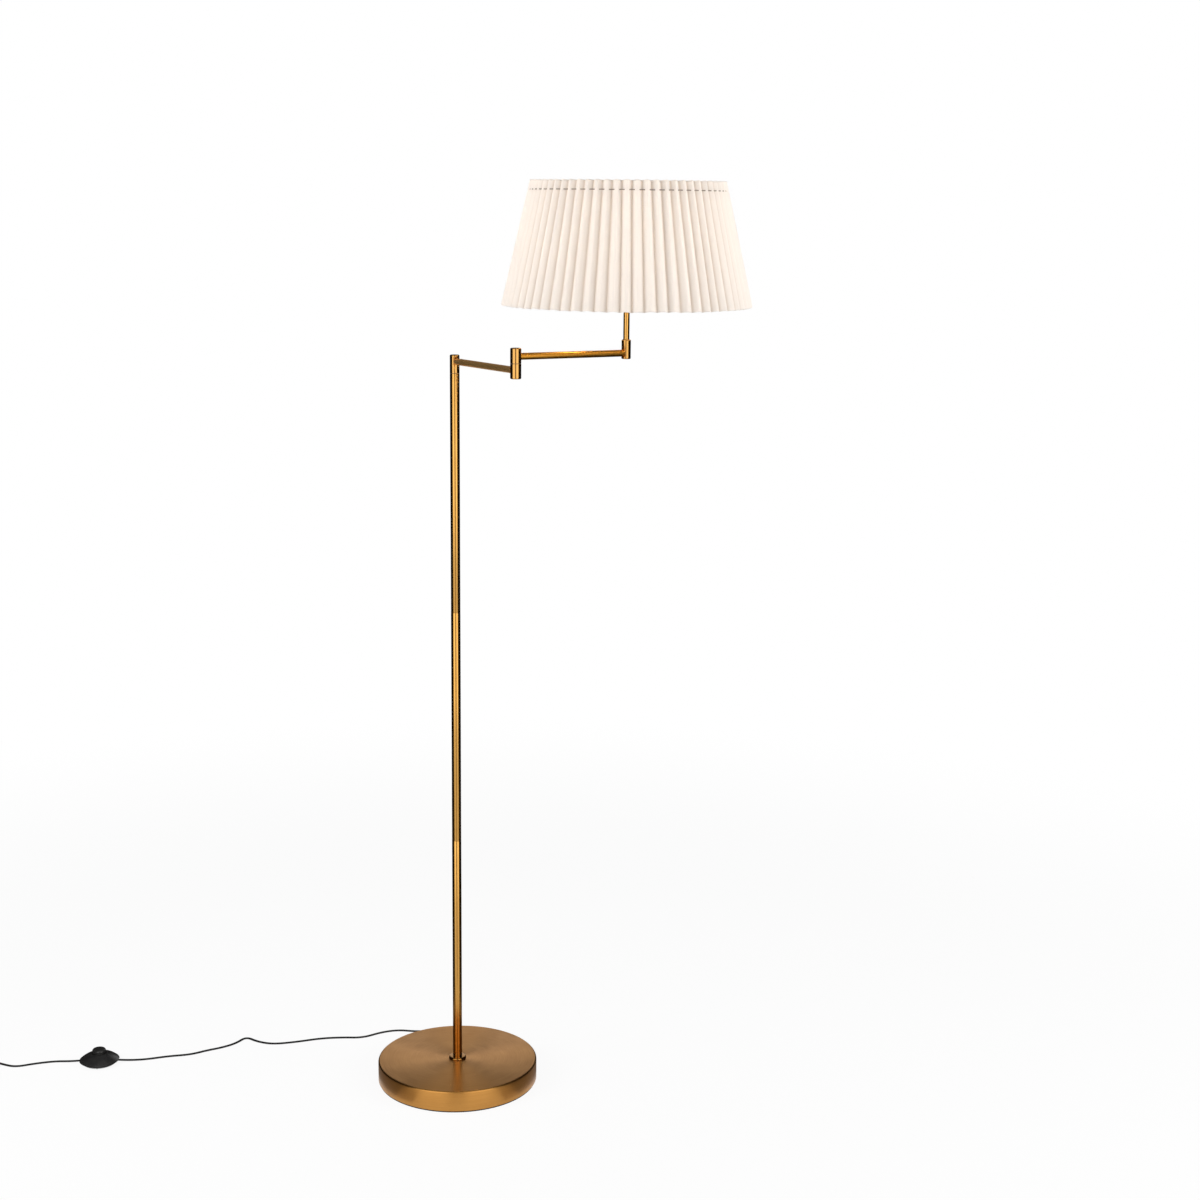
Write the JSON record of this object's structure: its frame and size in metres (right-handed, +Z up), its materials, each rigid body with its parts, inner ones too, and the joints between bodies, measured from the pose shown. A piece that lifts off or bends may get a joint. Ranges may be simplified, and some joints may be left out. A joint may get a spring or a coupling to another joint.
{
  "type": "floor lamp",
  "caption": "Bridge floor lamp with a weighted round base, a slim pole, two level swing arms and a pleated cone shade, with a foot switch on its flat cord.",
  "frame": {"origin": "on the floor, under the axis of the pole, in the middle of the base pad's underside", "axes": "+Z up along the pole; -Y towards the viewer, +X to the right, so the cord leaves the base at the back, +Y"},
  "size_m": [1.3962, 0.5006, 1.5645],
  "materials": {
    "antique_brass": "satin brushed, antique",
    "bronze_tube": "satin, antique bronze",
    "cast_iron": "as cast, painted black",
    "steel": "zinc plated",
    "white_wire": "white coated",
    "pleated_cloth": "matt woven, pleated",
    "opal_glass": "opal",
    "bulb_metal": "bright threaded",
    "foam": "matt",
    "cord_plastic": "matt, soft",
    "switch_plastic": "fine satin",
    "holder_plastic": "glossy",
    "ceramic": "fired, matt",
    "friction_ring": "smooth",
    "plug_metal": "bright, nickel plated"
  },
  "bodies": {
    "stand": {"base_pad": "foam", "base_cover": "antique_brass", "base_weight": "cast_iron", "base_washer": "steel", "base_nut": "steel", "base_nipple": "steel", "cord_grommet": "cord_plastic", "pole_collar": "antique_brass", "pole_foot": "steel", "pole_tube_lower": "bronze_tube", "pole_tube_middle": "bronze_tube", "pole_tube_upper": "bronze_tube", "pole_coupler_lower": "steel", "pole_coupler_upper": "steel", "pole_bush": "friction_ring", "lead_pole": "cord_plastic", "cord_to_switch": "cord_plastic", "cord_to_coil": "cord_plastic", "cord_to_plug": "cord_plastic", "cord_coil": "cord_plastic", "coil_tie": "cord_plastic", "plug_body": "cord_plastic", "plug_pins": "plug_metal", "switch_base": "switch_plastic", "switch_feet": "foam", "switch_screws": "steel", "switch_cover": "switch_plastic", "switch_block": "switch_plastic", "switch_spring": "steel"},
    "first_arm": {"swivel_washer": "friction_ring", "swivel_head": "antique_brass", "swivel_spindle": "steel", "swivel_nut": "steel", "arm_1_tube": "bronze_tube", "lead_arm_1": "cord_plastic", "lower_knuckle": "antique_brass", "lower_knuckle_cap": "antique_brass"},
    "second_arm": {"elbow_washer": "friction_ring", "elbow_spindle": "steel", "elbow_nut": "steel", "upper_knuckle": "antique_brass", "arm_2_tube": "bronze_tube", "lead_arm_2": "cord_plastic", "end_knuckle": "antique_brass", "stem_tube": "bronze_tube", "holder_cap": "antique_brass", "holder_sleeve": "holder_plastic", "holder_insert": "ceramic", "holder_contact": "plug_metal", "shade_ring_lower": "holder_plastic", "shade_ring_upper": "holder_plastic", "bulb_cap": "bulb_metal", "bulb_glass": "opal_glass", "shade_fabric": "pleated_cloth", "shade_bottom_ring": "white_wire", "shade_top_ring": "white_wire", "shade_uprights": "white_wire", "shade_gallery": "white_wire"},
    "foot_button": {"switch_button": "switch_plastic"}
  },
  "joints": [
    {"name": "arm_swing", "type": "hinge", "parent": "stand", "child": "first_arm", "pos_m": [0, 0, 1.25025], "axis": [0, 0, 1], "range_deg": [-198.55, 141.45]},
    {"name": "elbow_swing", "type": "hinge", "parent": "first_arm", "child": "second_arm", "pos_m": [0.09559, -0.17568, 1.2806], "axis": [0, 0, 1], "range_deg": [-256.65, 83.35]},
    {"name": "switch_press", "type": "slide", "parent": "stand", "child": "foot_button", "axis": [0, 0, -1], "range_m": [0, 0.0035], "stiffness_N_per_m": 1500, "springref_m": -0.002, "deforming": ["switch_spring"]}
  ]
}
